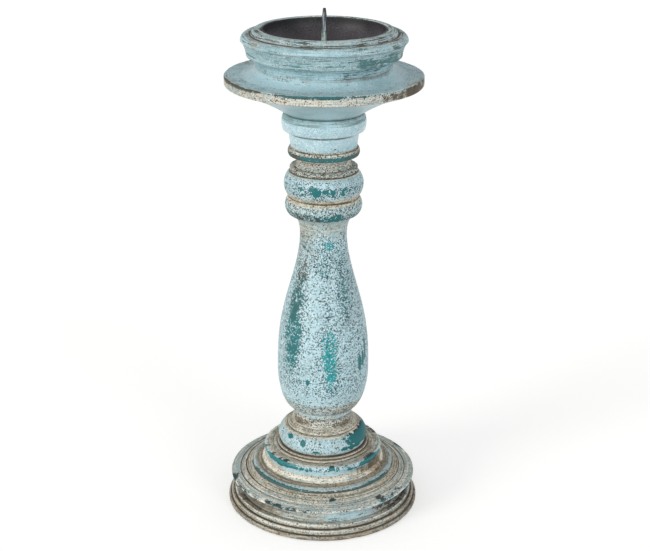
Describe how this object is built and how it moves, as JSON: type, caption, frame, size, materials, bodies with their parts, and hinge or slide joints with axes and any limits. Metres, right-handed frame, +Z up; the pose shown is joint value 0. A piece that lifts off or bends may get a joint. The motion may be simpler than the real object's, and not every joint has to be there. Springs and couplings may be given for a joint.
{
  "type": "pricket candle stand",
  "caption": "Turned and painted wooden candle stand with a stepped round base, vase stem and wide drip plate; its cup holds a lift-out steel pan with a spike for a pillar candle.",
  "frame": {"origin": "centre of the underside, on the table that the stand rests on", "axes": "+Z up along the stand's axis, +X to the right and +Y away from the viewer in the picture"},
  "size_m": [0.1304, 0.1304, 0.3388],
  "materials": {
    "painted_wood": "matt distressed paint",
    "pan_steel": "matt black",
    "pricket_steel": "worn grey",
    "zinc_steel": "zinc plated",
    "felt": "pressed felt"
  },
  "bodies": {
    "stand": {"felt_pad": "felt", "base_plinth": "painted_wood", "plinth_screws": "zinc_steel", "base_moulding": "painted_wood", "base_bead": "painted_wood", "stem": "painted_wood", "stem_screw": "zinc_steel", "stem_screw_washer": "zinc_steel", "capital": "painted_wood", "candle_head": "painted_wood", "head_screw": "zinc_steel", "head_screw_washer": "zinc_steel"},
    "candle_pan": {"drip_pan": "pan_steel", "pricket": "pricket_steel", "pricket_washer": "zinc_steel", "pricket_nut": "zinc_steel"}
  },
  "joints": [
    {"name": "pan_lift", "type": "slide", "parent": "stand", "child": "candle_pan", "axis": [0, 0, 1], "range_m": [0, 0.05]}
  ]
}
